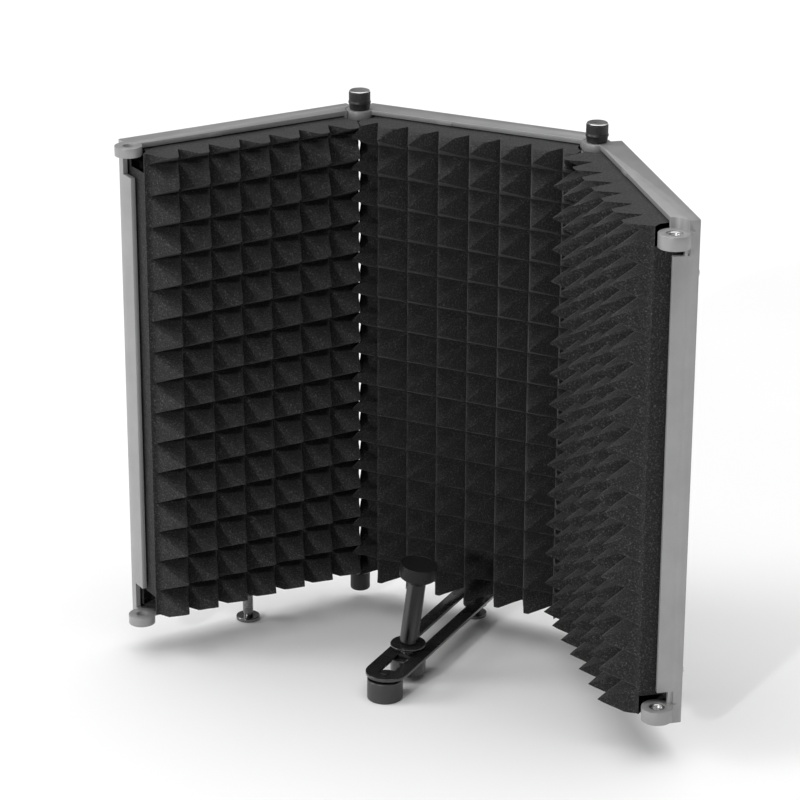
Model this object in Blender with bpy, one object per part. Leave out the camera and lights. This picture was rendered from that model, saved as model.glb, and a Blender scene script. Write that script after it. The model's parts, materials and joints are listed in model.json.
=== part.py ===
"""Folding microphone isolation shield.

Three framed foam panels hinge on knurled thumb screws and stand on screw feet.  A slotted arm is
clamped under the centre panel.  It carries a tilting microphone post and a stand adapter knob.

Metres, +Z up.  The origin is the centre of the middle foot's bottom face and the foam faces -Y.
Each panel is drawn in its own axes: u from its left hinge axis to its right one, v backwards from
the front of its frame, z up from the bottom of its frame.
"""

import math

import bmesh
import bpy
from mathutils import Matrix, Vector

# Driving dimensions, in metres unless a name says otherwise
GAP = 0.0003
OVERSHOOT = 0.001
ROUND = 32
SMALL_ROUND = 20
SCREW_ROUND = 10
SHARP_ANGLE = math.radians(35)

PANEL_PITCH = 0.1663
PANEL_HEIGHT = 0.325
LEFT_FOLD = math.radians(56.8)
RIGHT_FOLD = math.radians(51.6)
FRAME_BASE = 0.0225
FOOT_DEPTH = 0.008

FRAME_DEPTH = 0.016
FRAME_EDGE = 0.001
RIM = 0.003
LIP = 0.0015
LIP_WIDTH = 0.005

LUG_ZONE = 0.0216
PLAIN_LUG_R = 0.0087
PLAIN_LUG_DROP = 0.002
PLAIN_LUG_THICK = 0.006
PLAIN_BORE_R = 0.0035
BUSHED_LUG_R = 0.00985
BUSHED_BORE_R = 0.005
LUG_CLEARANCE = 0.0006
BUSHED_LUG_THICK = 0.0085
PLAIN_NOTCH = 0.0104
BUSHED_NOTCH = 0.0069
POCKET_R = 0.0093
POCKET_WALL = 0.002
WEB_INSIDE = 0.0015
WEB_OUTSIDE = 0.0018
WEB_FRONT = 0.0075
WEB_SHOULDER = 0.0092
WEB_SHOULDER_DEPTH = 0.0004
WEB_REAR = 0.0135
GROOVE_V = 0.0088
GROOVE_WIDTH = 0.0015
GROOVE_DEPTH = 0.001
TAB_U = 0.061
TAB_WIDTH = 0.010
TAB_DROP = 0.0008
TAB_PROUD = 0.0004

PLATE_THICK = 0.0012
PLATE_SCREW_HEIGHTS = (0.034, PANEL_HEIGHT - 0.034)
PLATE_SCREW_R = 0.0012
PLATE_SCREW_HOLE_R = 0.0015
PLATE_SCREW_HEAD_R = 0.00275
PLATE_SCREW_HEAD = 0.0016

FOAM_LEFT = 0.0058
FOAM_RIGHT = 0.0064
FOAM_BOTTOM = 0.0055
FOAM_TOP = 0.321
FOAM_BASE = 0.010
PYRAMID_HEIGHT = 0.0235
PYRAMID_EDGE = 0.0077
PYRAMID_COLUMNS = 7
PYRAMID_PITCH_U = (PANEL_PITCH - 2 * PYRAMID_EDGE) / PYRAMID_COLUMNS
PYRAMID_ROWS = 16
PYRAMID_PITCH_Z = 0.0208
SIDE_TOP_PEAK = 0.3243
CENTRE_TOP_PEAK = 0.3159
CORNER_REACH = 0.006
CORNER_CLEARANCE = 0.0012
FOAM_NOTCH_LEFT_R = 0.0105
FOAM_NOTCH_RIGHT_R = 0.0117
FOAM_NOTCH = 0.0125

INSERT_R = 0.0047
INSERT_BORE_R = 0.00345
INSERT_RECESS = 0.0005
HINGE_SHANK_R = 0.0031
HINGE_SHANK_IN = 0.014
GRIP_R = 0.0070
GRIP_BORE_R = 0.0034
GRIP_HEIGHT = 0.0112
GRIP_RIDGE = 0.0005
HINGE_CAP = 0.0008
LOWER_GRIP_R = 0.0067
LOWER_GRIP_HEIGHT = 0.0133

FOOT_DISC_R = 0.008
FOOT_DISC = 0.0028
FOOT_POST_R = 0.0035
FOOT_HOLE_R = 0.0038
FOOT_POST_IN = 0.0046
BOSS_HALF_WIDTH = 0.008
BOSS_HEIGHT = 0.0022
BOSS_FRONT = 0.002

ARM_HALF_WIDTH = 0.014
ARM_THICK = 0.0022
ARM_DROP = 0.0048
ARM_FRONT_Y = -0.1345
ARM_REAR_Y = 0.002
SLOT_HALF_WIDTH = 0.0045
SLOT_FRONT_Y = -0.1365
SLOT_REAR_Y = 0.0045

SPACER_R = 0.007
CLAMP_WASHER_R = 0.0085
CLAMP_WASHER = 0.0008
CLAMP_NUT_R = 0.008
CLAMP_NUT = 0.006

MIC_Y = -0.104
MIC_LEAN = math.radians(7.3)
CARRIAGE_NUT_R = 0.0115
CARRIAGE_NUT = 0.0113
STUD_R = 0.0028
STUD_LENGTH = 0.0105
SOCKET_R = 0.00575
SOCKET_HEIGHT = 0.0046
SOCKET_CAP_R = 0.0115
SOCKET_CAP = 0.0012
BALL_R = 0.0028
BALL_DROP = 0.0025
NECK_R = 0.0020
POST_R = 0.006
POST_START = 0.0039
POST_END = 0.0477
SPIGOT_R = 0.004
SPIGOT_END = 0.0560
HEAD_R = 0.012
HEAD_START = 0.0480
HEAD_END = 0.0605

STAND_Y = -0.1377
STAND_KNOB_R = 0.0115
STAND_KNOB_TOP = 0.0140
STAND_SOCKET_R = 0.0046
STAND_SOCKET_DEPTH = 0.0105
STAND_STUD_R = 0.0030

MATERIALS = {
    "frame_silver": ((0.56, 0.56, 0.56), 0.38, 0.35),
    "plate_black": ((0.03, 0.03, 0.03), 0.55, 0.3),
    "foam_black": ((0.018, 0.018, 0.019), 0.95, 0.0),
    "bright_metal": ((0.62, 0.62, 0.62), 0.25, 0.9),
    "grip_black": ((0.02, 0.02, 0.02), 0.5, 0.0),
    "dark_chrome": ((0.12, 0.12, 0.12), 0.25, 0.8),
    "arm_black": ((0.012, 0.012, 0.012), 0.35, 0.2),
    "knob_grey": ((0.09, 0.09, 0.09), 0.45, 0.2),
}


# Scene helpers


def clear_scene():
    for obj in list(bpy.data.objects):
        bpy.data.objects.remove(obj, do_unlink=True)


def make_materials():
    made = {}
    for name, (colour, roughness, metallic) in MATERIALS.items():
        material = bpy.data.materials.new(name)
        material.use_nodes = True
        shader = material.node_tree.nodes["Principled BSDF"]
        shader.inputs["Base Color"].default_value = (*colour, 1.0)
        shader.inputs["Roughness"].default_value = roughness
        shader.inputs["Metallic"].default_value = metallic
        material.diffuse_color = (*colour, 1.0)
        made[name] = material
    return made


def empty(name, location, turn=0.0):
    obj = bpy.data.objects.new(name, None)
    obj.location = location
    obj.rotation_euler = (0.0, 0.0, turn)
    bpy.context.scene.collection.objects.link(obj)
    return obj


def finished_mesh(name, bm):
    """A mesh from closed bodies, with outward normals and smooth round walls."""
    bmesh.ops.recalc_face_normals(bm, faces=bm.faces)
    mesh = bpy.data.meshes.new(name)
    bm.to_mesh(mesh)
    bm.free()
    mesh.shade_smooth()
    mesh.set_sharp_from_angle(angle=SHARP_ANGLE)
    return mesh


def place(name, mesh, material, location=(0.0, 0.0, 0.0), parent=None, rotation=(0.0, 0.0, 0.0)):
    obj = bpy.data.objects.new(name, mesh)
    if not mesh.materials:
        mesh.materials.append(material)
    obj.location = location
    obj.rotation_euler = rotation
    obj.parent = parent
    bpy.context.scene.collection.objects.link(obj)
    return obj


# Solids


def add_box(bm, low, high):
    low, high = Vector(low), Vector(high)
    matrix = Matrix.Translation((low + high) / 2) @ Matrix.Diagonal((*(high - low), 1.0))
    bmesh.ops.create_cube(bm, size=1.0, matrix=matrix)


def add_cylinder(bm, centre, radius, bottom, top, segments=ROUND):
    matrix = Matrix.Translation((centre[0], centre[1], (bottom + top) / 2))
    bmesh.ops.create_cone(
        bm,
        cap_ends=True,
        segments=segments,
        radius1=radius,
        radius2=radius,
        depth=top - bottom,
        matrix=matrix,
    )


def add_prism(bm, outline, bottom, top):
    """A vertical prism over an outline of (x, y) corners."""
    base = bm.faces.new([bm.verts.new((x, y, bottom)) for x, y in outline])
    grown = bmesh.ops.extrude_face_region(bm, geom=[base])["geom"]
    moved = [item for item in grown if isinstance(item, bmesh.types.BMVert)]
    bmesh.ops.translate(bm, verts=moved, vec=(0.0, 0.0, top - bottom))


def turned(name, profile, segments=ROUND):
    """A solid turned about Z from (radius, height) corners.

    A profile that starts and ends on the axis is closed there, and any other one is a ring.
    """
    on_axis = profile[0][0] == 0.0
    bm = bmesh.new()
    rings = []
    for radius, height in profile:
        if radius == 0.0:
            rings.append([bm.verts.new((0.0, 0.0, height))])
            continue
        angles = (2 * math.pi * step / segments for step in range(segments))
        rings.append([bm.verts.new((radius * math.cos(a), radius * math.sin(a), height)) for a in angles])
    pairs = list(zip(rings, rings[1:]))
    if not on_axis:
        pairs.append((rings[-1], rings[0]))
    for first, second in pairs:
        for step in range(segments):
            corners = [first[step % len(first)], first[(step + 1) % len(first)]]
            corners += [second[(step + 1) % len(second)], second[step % len(second)]]
            bm.faces.new(list(dict.fromkeys(corners)))
    return finished_mesh(name, bm)


def tube_profile(inner, outer, bottom, top, chamfer=0.0):
    """The ring profile of a tube, whose outer edges may be chamfered."""
    if not chamfer:
        return [(inner, bottom), (outer, bottom), (outer, top), (inner, top)]
    return [
        (inner, bottom),
        (outer - chamfer, bottom),
        (outer, bottom + chamfer),
        (outer, top - chamfer),
        (outer - chamfer, top),
        (inner, top),
    ]


def combined(name, base, steps):
    """The mesh of a base solid after Boolean steps of (operation, bmesh)."""
    scene = bpy.context.scene.collection
    target = bpy.data.objects.new(name, finished_mesh(name, base))
    scene.objects.link(target)
    helpers = []
    for operation, bm in steps:
        helper = bpy.data.objects.new(name + "_tool", finished_mesh(name + "_tool", bm))
        helper.hide_render = True
        helper.display_type = "WIRE"
        scene.objects.link(helper)
        modifier = target.modifiers.new(operation.lower(), "BOOLEAN")
        modifier.operation = operation
        modifier.solver = "EXACT"
        modifier.object = helper
        helpers.append(helper)
    bpy.context.view_layer.update()
    evaluated = target.evaluated_get(bpy.context.evaluated_depsgraph_get())
    bm = bmesh.new()
    bm.from_mesh(evaluated.to_mesh())
    evaluated.to_mesh_clear()
    for obj in (target, *helpers):
        bpy.data.objects.remove(obj, do_unlink=True)
    bmesh.ops.remove_doubles(bm, verts=bm.verts, dist=1e-6)
    bmesh.ops.dissolve_limit(bm, angle_limit=math.radians(0.5), verts=bm.verts, edges=bm.edges)
    return finished_mesh(name, bm)


def stadium(half_width, front, rear, steps=12):
    """Outline of a round-ended bar along Y, whose end arcs are centred on front and rear."""
    angles = [math.pi * step / steps for step in range(steps + 1)]
    rear_arc = [(half_width * math.cos(a), rear + half_width * math.sin(a)) for a in angles]
    front_arc = [(-half_width * math.cos(a), front - half_width * math.sin(a)) for a in angles]
    return rear_arc + front_arc


# Panel pieces, in the panel's own axes


def lug_rows():
    """(bottom, top) of the upper plain, upper bushed, lower plain and lower bushed lug."""
    upper_plain = (PANEL_HEIGHT - PLAIN_LUG_THICK, PANEL_HEIGHT)
    upper_bushed_top = upper_plain[0] - LUG_CLEARANCE
    upper_bushed = (upper_bushed_top - BUSHED_LUG_THICK, upper_bushed_top)
    lower_plain = (-PLAIN_LUG_DROP, PLAIN_LUG_THICK - PLAIN_LUG_DROP)
    lower_bushed_bottom = lower_plain[1] + LUG_CLEARANCE
    lower_bushed = (lower_bushed_bottom, lower_bushed_bottom + BUSHED_LUG_THICK)
    return upper_plain, upper_bushed, lower_plain, lower_bushed


def frame_window(border, depth):
    """Cutter of the window inside the frame, down to a border of this width."""
    bm = bmesh.new()
    low = (FRAME_EDGE + border, -OVERSHOOT, border)
    high = (PANEL_PITCH - FRAME_EDGE - border, depth, PANEL_HEIGHT - border)
    add_box(bm, low, high)
    return bm


def lug_notches():
    """Cutter of the side walls beside the lugs, where the neighbour's lug swings."""
    upper_plain, upper_bushed, lower_plain, lower_bushed = lug_rows()
    bm = bmesh.new()
    inner = FRAME_EDGE + RIM + OVERSHOOT / 2
    high = PANEL_HEIGHT - LUG_ZONE
    for bottom, top in ((high, upper_plain[0]), (lower_plain[1], LUG_ZONE)):
        add_box(bm, (0.0, -OVERSHOOT, bottom), (inner, PLAIN_NOTCH, top))
    for bottom, top in ((high, upper_bushed[1]), (lower_bushed[0], LUG_ZONE)):
        add_box(bm, (PANEL_PITCH - inner, -OVERSHOOT, bottom), (PANEL_PITCH, BUSHED_NOTCH, top))
    return bm


def lug_rings():
    bm = bmesh.new()
    upper_plain, upper_bushed, lower_plain, lower_bushed = lug_rows()
    for bottom, top in (upper_plain, lower_plain):
        add_cylinder(bm, (0.0, 0.0), PLAIN_LUG_R, bottom, top)
    for bottom, top in (upper_bushed, lower_bushed):
        add_cylinder(bm, (PANEL_PITCH, 0.0), BUSHED_LUG_R, bottom, top)
    return bm


def lug_webs():
    """The short webs that run back from the bushed rings along the side wall."""
    bm = bmesh.new()
    _, upper_bushed, _, lower_bushed = lug_rows()
    side = PANEL_PITCH - FRAME_EDGE
    outline = [
        (side - WEB_INSIDE, WEB_FRONT),
        (side + WEB_OUTSIDE, WEB_SHOULDER),
        (side + WEB_OUTSIDE, WEB_SHOULDER + WEB_SHOULDER_DEPTH),
        (side, WEB_REAR),
        (side - WEB_INSIDE, WEB_REAR),
    ]
    for bottom, top in (upper_bushed, lower_bushed):
        add_prism(bm, outline, bottom, top)
    return bm


def pocket_collars():
    """Solid corners around the pockets that the neighbour's plain rings turn in."""
    bm = bmesh.new()
    radius = POCKET_R + POCKET_WALL
    side = math.acos(FRAME_EDGE / radius)
    steps = 8
    outline = [(PANEL_PITCH - FRAME_EDGE, 0.0)]
    for step in range(steps + 1):
        angle = side * (1 - step / steps)
        outline.append((PANEL_PITCH - radius * math.cos(angle), radius * math.sin(angle)))
    _, upper_bushed, _, lower_bushed = lug_rows()
    add_prism(bm, outline, upper_bushed[1] - OVERSHOOT, PANEL_HEIGHT)
    add_prism(bm, outline, 0.0, lower_bushed[0] + OVERSHOOT)
    return bm


def pocket_cutters():
    bm = bmesh.new()
    _, upper_bushed, _, lower_bushed = lug_rows()
    add_cylinder(bm, (PANEL_PITCH, 0.0), POCKET_R, upper_bushed[1], PANEL_HEIGHT + OVERSHOOT)
    add_cylinder(bm, (PANEL_PITCH, 0.0), POCKET_R, -OVERSHOOT, lower_bushed[0])
    return bm


def frame_holes():
    """Cutter of the lug bores, the foot's hole, the relief grooves and the plate screws' holes."""
    bm = bmesh.new()
    upper_plain, upper_bushed, lower_plain, lower_bushed = lug_rows()
    for bottom, top in (upper_plain, lower_plain):
        add_cylinder(bm, (0.0, 0.0), PLAIN_BORE_R, bottom - OVERSHOOT, top + OVERSHOOT, SMALL_ROUND)
    for bottom, top in (upper_bushed, lower_bushed):
        middle = (PANEL_PITCH, 0.0)
        add_cylinder(bm, middle, BUSHED_BORE_R, bottom - OVERSHOOT, top + OVERSHOOT, SMALL_ROUND)
    foot = (PANEL_PITCH / 2, FOOT_DEPTH)
    add_cylinder(bm, foot, FOOT_HOLE_R, -OVERSHOOT, RIM + BOSS_HEIGHT + OVERSHOOT, SMALL_ROUND)
    side = PANEL_PITCH - FRAME_EDGE
    grooves = ((PANEL_HEIGHT - LUG_ZONE, upper_bushed[0]), (lower_bushed[1], LUG_ZONE))
    for bottom, top in grooves:
        low = (side - GROOVE_DEPTH, GROOVE_V, bottom)
        add_box(bm, low, (side + OVERSHOOT, GROOVE_V + GROOVE_WIDTH, top))
    add_plate_screw_holes(bm, FRAME_DEPTH - LIP - OVERSHOOT / 2, FRAME_DEPTH + OVERSHOOT)
    return bm


def plate_screw_places():
    inset = FRAME_EDGE + RIM + LIP_WIDTH / 2
    columns = (inset, PANEL_PITCH - inset)
    return [(u, z) for u in columns for z in PLATE_SCREW_HEIGHTS]


def add_plate_screw_holes(bm, front, back):
    for u, z in plate_screw_places():
        matrix = Matrix.Translation((u, (front + back) / 2, z)) @ Matrix.Rotation(math.pi / 2, 4, "X")
        bmesh.ops.create_cone(
            bm,
            cap_ends=True,
            segments=SCREW_ROUND,
            radius1=PLATE_SCREW_HOLE_R,
            radius2=PLATE_SCREW_HOLE_R,
            depth=back - front,
            matrix=matrix,
        )


def frame_fittings():
    """The foot's boss on the bottom rail and the small foam tab under the top rail."""
    bm = bmesh.new()
    middle = PANEL_PITCH / 2
    back = FRAME_DEPTH - LIP - PLATE_THICK - 2 * GAP
    low = (middle - BOSS_HALF_WIDTH, BOSS_FRONT, RIM - OVERSHOOT)
    add_box(bm, low, (middle + BOSS_HALF_WIDTH, back, RIM + BOSS_HEIGHT))
    low = (TAB_U - TAB_WIDTH / 2, -TAB_PROUD, PANEL_HEIGHT - RIM)
    add_box(bm, low, (TAB_U + TAB_WIDTH / 2, OVERSHOOT, PANEL_HEIGHT - TAB_DROP))
    return bm


def frame_mesh():
    body = bmesh.new()
    add_box(body, (FRAME_EDGE, 0.0, 0.0), (PANEL_PITCH - FRAME_EDGE, FRAME_DEPTH, PANEL_HEIGHT))
    steps = [
        ("DIFFERENCE", frame_window(RIM + LIP_WIDTH, FRAME_DEPTH + OVERSHOOT)),
        ("DIFFERENCE", frame_window(RIM, FRAME_DEPTH - LIP)),
        ("DIFFERENCE", lug_notches()),
        ("UNION", frame_fittings()),
        ("UNION", pocket_collars()),
        ("UNION", lug_rings()),
        ("UNION", lug_webs()),
        ("DIFFERENCE", pocket_cutters()),
        ("DIFFERENCE", frame_holes()),
    ]
    return combined("panel_frame", body, steps)


def plate_mesh():
    body = bmesh.new()
    back = FRAME_DEPTH - LIP - GAP
    inset = FRAME_EDGE + RIM + GAP
    low = (inset, back - PLATE_THICK, RIM + GAP)
    add_box(body, low, (PANEL_PITCH - inset, back, PANEL_HEIGHT - RIM - GAP))
    holes = bmesh.new()
    add_plate_screw_holes(holes, back - PLATE_THICK - OVERSHOOT / 2, back + OVERSHOOT / 2)
    return combined("back_plate", body, [("DIFFERENCE", holes)])


def plate_screw_profile():
    """A pan-head screw along Z: its head's seat is the frame's rear face, at height zero."""
    tip = -(LIP + GAP + PLATE_THICK - OVERSHOOT / 4)
    head = GAP + PLATE_SCREW_HEAD
    return [
        (0.0, tip),
        (PLATE_SCREW_R, tip),
        (PLATE_SCREW_R, GAP),
        (PLATE_SCREW_HEAD_R, GAP),
        (PLATE_SCREW_HEAD_R, GAP + PLATE_SCREW_HEAD * 0.5),
        (PLATE_SCREW_HEAD_R * 0.6, head),
        (0.0, head),
    ]


def add_pyramid_row(bm, height, left, columns):
    """One row of pyramids from u = left, and the flat border strips beside it."""
    valley, peak = -FOAM_BASE, -FOAM_BASE - PYRAMID_HEIGHT
    right = left + columns * PYRAMID_PITCH_U
    low, high = height - PYRAMID_PITCH_Z / 2, height + PYRAMID_PITCH_Z / 2
    for column in range(columns):
        u0 = left + column * PYRAMID_PITCH_U
        u1 = u0 + PYRAMID_PITCH_U
        places = ((u0, low), (u1, low), (u1, high), (u0, high))
        corners = [bm.verts.new((u, valley, z)) for u, z in places]
        tip = bm.verts.new(((u0 + u1) / 2, peak, height))
        for step in range(4):
            bm.faces.new((corners[step], corners[(step + 1) % 4], tip))
    for u0, u1 in ((FOAM_LEFT, left), (right, PANEL_PITCH - FOAM_RIGHT)):
        if u0 < u1:
            places = ((u0, low), (u1, low), (u1, high), (u0, high))
            bm.faces.new([bm.verts.new((u, valley, z)) for u, z in places])


def foam_block(left, columns, top_peak, margin=0.0):
    """A foam slab whose front rises in pyramids, which its edges cut through."""
    bm = bmesh.new()
    for row in range(PYRAMID_ROWS):
        add_pyramid_row(bm, top_peak - row * PYRAMID_PITCH_Z, left, columns)
    bmesh.ops.remove_doubles(bm, verts=bm.verts, dist=1e-6)
    planes = (
        ((0.0, 0.0, FOAM_TOP + margin), (0.0, 0.0, 1.0)),
        ((0.0, 0.0, FOAM_BOTTOM - margin), (0.0, 0.0, -1.0)),
        ((FOAM_LEFT, 0.0, 0.0), (-1.0, 0.0, 0.0)),
        ((PANEL_PITCH - FOAM_RIGHT, 0.0, 0.0), (1.0, 0.0, 0.0)),
    )
    for point, normal in planes:
        geometry = bm.verts[:] + bm.edges[:] + bm.faces[:]
        plane = {"plane_co": point, "plane_no": normal}
        bmesh.ops.bisect_plane(bm, geom=geometry, clear_outer=True, dist=1e-6, **plane)
    rim = [edge for edge in bm.edges if edge.is_boundary]
    grown = bmesh.ops.extrude_edge_only(bm, edges=rim)["geom"]
    for item in grown:
        if isinstance(item, bmesh.types.BMVert):
            item.co.y = FRAME_DEPTH - LIP - PLATE_THICK - 2 * GAP
    bmesh.ops.contextual_create(bm, geom=[item for item in grown if isinstance(item, bmesh.types.BMEdge)])
    return bm


def foam_notches():
    """Cutter of the pad's corners beside the hinge lugs."""
    bm = bmesh.new()
    for u, radius in ((0.0, FOAM_NOTCH_LEFT_R), (PANEL_PITCH, FOAM_NOTCH_RIGHT_R)):
        add_cylinder(bm, (u, 0.0), radius, FOAM_TOP - FOAM_NOTCH, FOAM_TOP + OVERSHOOT)
        add_cylinder(bm, (u, 0.0), radius, FOAM_BOTTOM - OVERSHOOT, FOAM_BOTTOM + FOAM_NOTCH)
    return bm


def corner_trims():
    """Cutters that hold the centre pad's outer pyramids near the planes that halve its corners."""
    bm = bmesh.new()
    for fold, hinge_u, inward in ((LEFT_FOLD, 0.0, 1.0), (RIGHT_FOLD, PANEL_PITCH, -1.0)):
        half = (math.pi - fold) / 2
        along = Vector((math.cos(half), -math.sin(half)))
        outward = Vector((-math.sin(half), -math.cos(half)))
        reach = 3 * PYRAMID_HEIGHT
        start = outward * CORNER_REACH
        corners = [start, start + along * reach, start + (along + outward) * reach, start + outward * reach]
        outline = [(hinge_u + inward * u, v) for u, v in corners]
        add_prism(bm, outline, FOAM_BOTTOM - OVERSHOOT, FOAM_TOP + OVERSHOOT)
    return bm


def neighbour_pad(fold_matrix):
    """Cutter in the shape of a folded-in side pad and the clearance in front of it."""
    bm = foam_block(PYRAMID_EDGE, PYRAMID_COLUMNS, SIDE_TOP_PEAK, OVERSHOOT)
    clearance = Matrix.Translation((0.0, -CORNER_CLEARANCE, 0.0))
    bmesh.ops.transform(bm, matrix=fold_matrix @ clearance, verts=bm.verts)
    return bm


def side_foam_mesh():
    bm = foam_block(PYRAMID_EDGE, PYRAMID_COLUMNS, SIDE_TOP_PEAK)
    return combined("side_foam_pad", bm, [("DIFFERENCE", foam_notches())])


def centre_foam_mesh():
    """The centre pad is cut half a pyramid out of step, so that its teeth fit between its neighbours'."""
    left = PYRAMID_EDGE - PYRAMID_PITCH_U / 2
    bm = foam_block(left, PYRAMID_COLUMNS + 1, CENTRE_TOP_PEAK)
    width = Matrix.Translation((PANEL_PITCH, 0.0, 0.0))
    steps = [
        ("DIFFERENCE", corner_trims()),
        ("DIFFERENCE", neighbour_pad(Matrix.Rotation(LEFT_FOLD, 4, "Z") @ width.inverted())),
        ("DIFFERENCE", neighbour_pad(width @ Matrix.Rotation(-RIGHT_FOLD, 4, "Z"))),
        ("DIFFERENCE", foam_notches()),
    ]
    return combined("centre_foam_pad", bm, steps)


def insert_profile(bottom, top):
    return tube_profile(INSERT_BORE_R, INSERT_R, bottom + INSERT_RECESS, top - INSERT_RECESS)


def foot_profile():
    base = -FRAME_BASE
    return [
        (0.0, base),
        (FOOT_DISC_R - 0.0004, base),
        (FOOT_DISC_R, base + 0.0004),
        (FOOT_DISC_R, base + FOOT_DISC - 0.0006),
        (FOOT_DISC_R - 0.0006, base + FOOT_DISC),
        (FOOT_POST_R, base + FOOT_DISC),
        (FOOT_POST_R, FOOT_POST_IN),
        (0.0, FOOT_POST_IN),
    ]


def upper_grip_profile():
    """A grip with a low ridge above its base and a chamfered top."""
    base = PANEL_HEIGHT + GAP
    top = base + GRIP_HEIGHT
    ridge = base + GRIP_HEIGHT * 0.4
    return [
        (GRIP_BORE_R, base),
        (GRIP_R - GRIP_RIDGE, base),
        (GRIP_R, ridge - 0.0015),
        (GRIP_R + GRIP_RIDGE, ridge),
        (GRIP_R, ridge + 0.0010),
        (GRIP_R, top),
        (GRIP_BORE_R, top),
    ]


def upper_screw_profile():
    cap = PANEL_HEIGHT + 2 * GAP + GRIP_HEIGHT
    return [
        (0.0, PANEL_HEIGHT - HINGE_SHANK_IN),
        (HINGE_SHANK_R, PANEL_HEIGHT - HINGE_SHANK_IN),
        (HINGE_SHANK_R, cap),
        (GRIP_R - 0.0004, cap),
        (GRIP_R - 0.0004, cap + HINGE_CAP * 0.6),
        (GRIP_R - 0.0008, cap + HINGE_CAP),
        (0.0, cap + HINGE_CAP),
    ]


def lower_grip_profile():
    """A grip that is closed and rounded underneath."""
    top = -PLAIN_LUG_DROP - GAP
    bottom = top - LOWER_GRIP_HEIGHT
    return [
        (0.0, bottom),
        (LOWER_GRIP_R - 0.0020, bottom),
        (LOWER_GRIP_R - 0.0006, bottom + 0.0006),
        (LOWER_GRIP_R, bottom + 0.0020),
        (LOWER_GRIP_R, top - 0.0004),
        (LOWER_GRIP_R - 0.0004, top),
        (GRIP_BORE_R, top),
        (GRIP_BORE_R, bottom + 0.0035),
        (0.0, bottom + 0.0035),
    ]


def lower_screw_profile():
    bottom = -PLAIN_LUG_DROP - GAP - LOWER_GRIP_HEIGHT + 0.0035 + GAP
    top = HINGE_SHANK_IN - PLAIN_LUG_DROP
    return [(0.0, bottom), (HINGE_SHANK_R, bottom), (HINGE_SHANK_R, top), (0.0, top)]


# Arm pieces, in heights above the desk


ARM_TOP = FRAME_BASE - ARM_DROP
ARM_BOTTOM = ARM_TOP - ARM_THICK
BALL_Z = ARM_TOP + GAP + SOCKET_HEIGHT + GAP + SOCKET_CAP - BALL_DROP


def arm_mesh():
    body = bmesh.new()
    add_prism(body, stadium(ARM_HALF_WIDTH, ARM_FRONT_Y, ARM_REAR_Y), ARM_BOTTOM, ARM_TOP)
    slot = bmesh.new()
    outline = stadium(SLOT_HALF_WIDTH, SLOT_FRONT_Y, SLOT_REAR_Y, 8)
    add_prism(slot, outline, ARM_BOTTOM - OVERSHOOT, ARM_TOP + OVERSHOOT)
    return combined("slotted_arm", body, [("DIFFERENCE", slot)])


def slot_guide_mesh():
    """A block that rides in the slot with the stud's hole through it."""
    body = bmesh.new()
    half = SLOT_HALF_WIDTH - GAP
    add_box(body, (-half, -0.006, ARM_BOTTOM), (half, 0.006, ARM_TOP))
    hole = bmesh.new()
    add_cylinder(hole, (0.0, 0.0), STUD_R + GAP, ARM_BOTTOM - OVERSHOOT, ARM_TOP + OVERSHOOT, SMALL_ROUND)
    return combined("slot_guide", body, [("DIFFERENCE", hole)])


def swivel_stud_profile():
    """A threaded stud under a cup that holds the post's ball."""
    bottom = ARM_TOP + GAP
    top = bottom + SOCKET_HEIGHT
    floor = BALL_Z - BALL_R - GAP
    return [
        (0.0, bottom - STUD_LENGTH),
        (STUD_R, bottom - STUD_LENGTH),
        (STUD_R, bottom),
        (SOCKET_R, bottom),
        (SOCKET_R, top),
        (BALL_R + GAP, top),
        (BALL_R + GAP, floor),
        (0.0, floor),
    ]


def socket_cap_profile():
    bottom = ARM_TOP + 2 * GAP + SOCKET_HEIGHT
    return tube_profile(BALL_R - 0.0001, SOCKET_CAP_R, bottom, bottom + SOCKET_CAP, 0.0003)


def post_profile():
    """The post in its own axes: heights are measured from the ball's centre."""
    arc = [math.radians(angle) for angle in (-90, -60, -30, 0, 25)]
    profile = [(BALL_R * math.cos(a), BALL_R * math.sin(a)) for a in arc]
    profile[0] = (0.0, -BALL_R)
    profile += [
        (NECK_R, BALL_R * 0.72),
        (NECK_R, POST_START),
        (POST_R - 0.001, POST_START),
        (POST_R, POST_START + 0.001),
        (POST_R, POST_END),
        (SPIGOT_R, POST_END),
        (SPIGOT_R, SPIGOT_END),
        (0.0, SPIGOT_END),
    ]
    return profile


def head_profile():
    """The head screwed onto the post's spigot, with a tapered underside."""
    hole_top = SPIGOT_END + GAP
    return [
        (0.0, hole_top),
        (SPIGOT_R + GAP, hole_top),
        (SPIGOT_R + GAP, HEAD_START),
        (POST_R + 0.0012, HEAD_START),
        (HEAD_R, HEAD_START + 0.0036),
        (HEAD_R, HEAD_END - 0.0006),
        (HEAD_R - 0.0006, HEAD_END),
        (0.0, HEAD_END),
    ]


def stand_knob_profile():
    """The stand adapter: a threaded socket from below and a stud's hole from above."""
    top = STAND_KNOB_TOP
    return [
        (STAND_SOCKET_R, 0.0),
        (STAND_KNOB_R - 0.0004, 0.0),
        (STAND_KNOB_R, 0.0004),
        (STAND_KNOB_R, top - 0.0010),
        (STAND_KNOB_R - 0.0010, top),
        (STAND_STUD_R + GAP, top),
        (STAND_STUD_R + GAP, STAND_SOCKET_DEPTH),
        (STAND_SOCKET_R, STAND_SOCKET_DEPTH),
    ]


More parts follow.
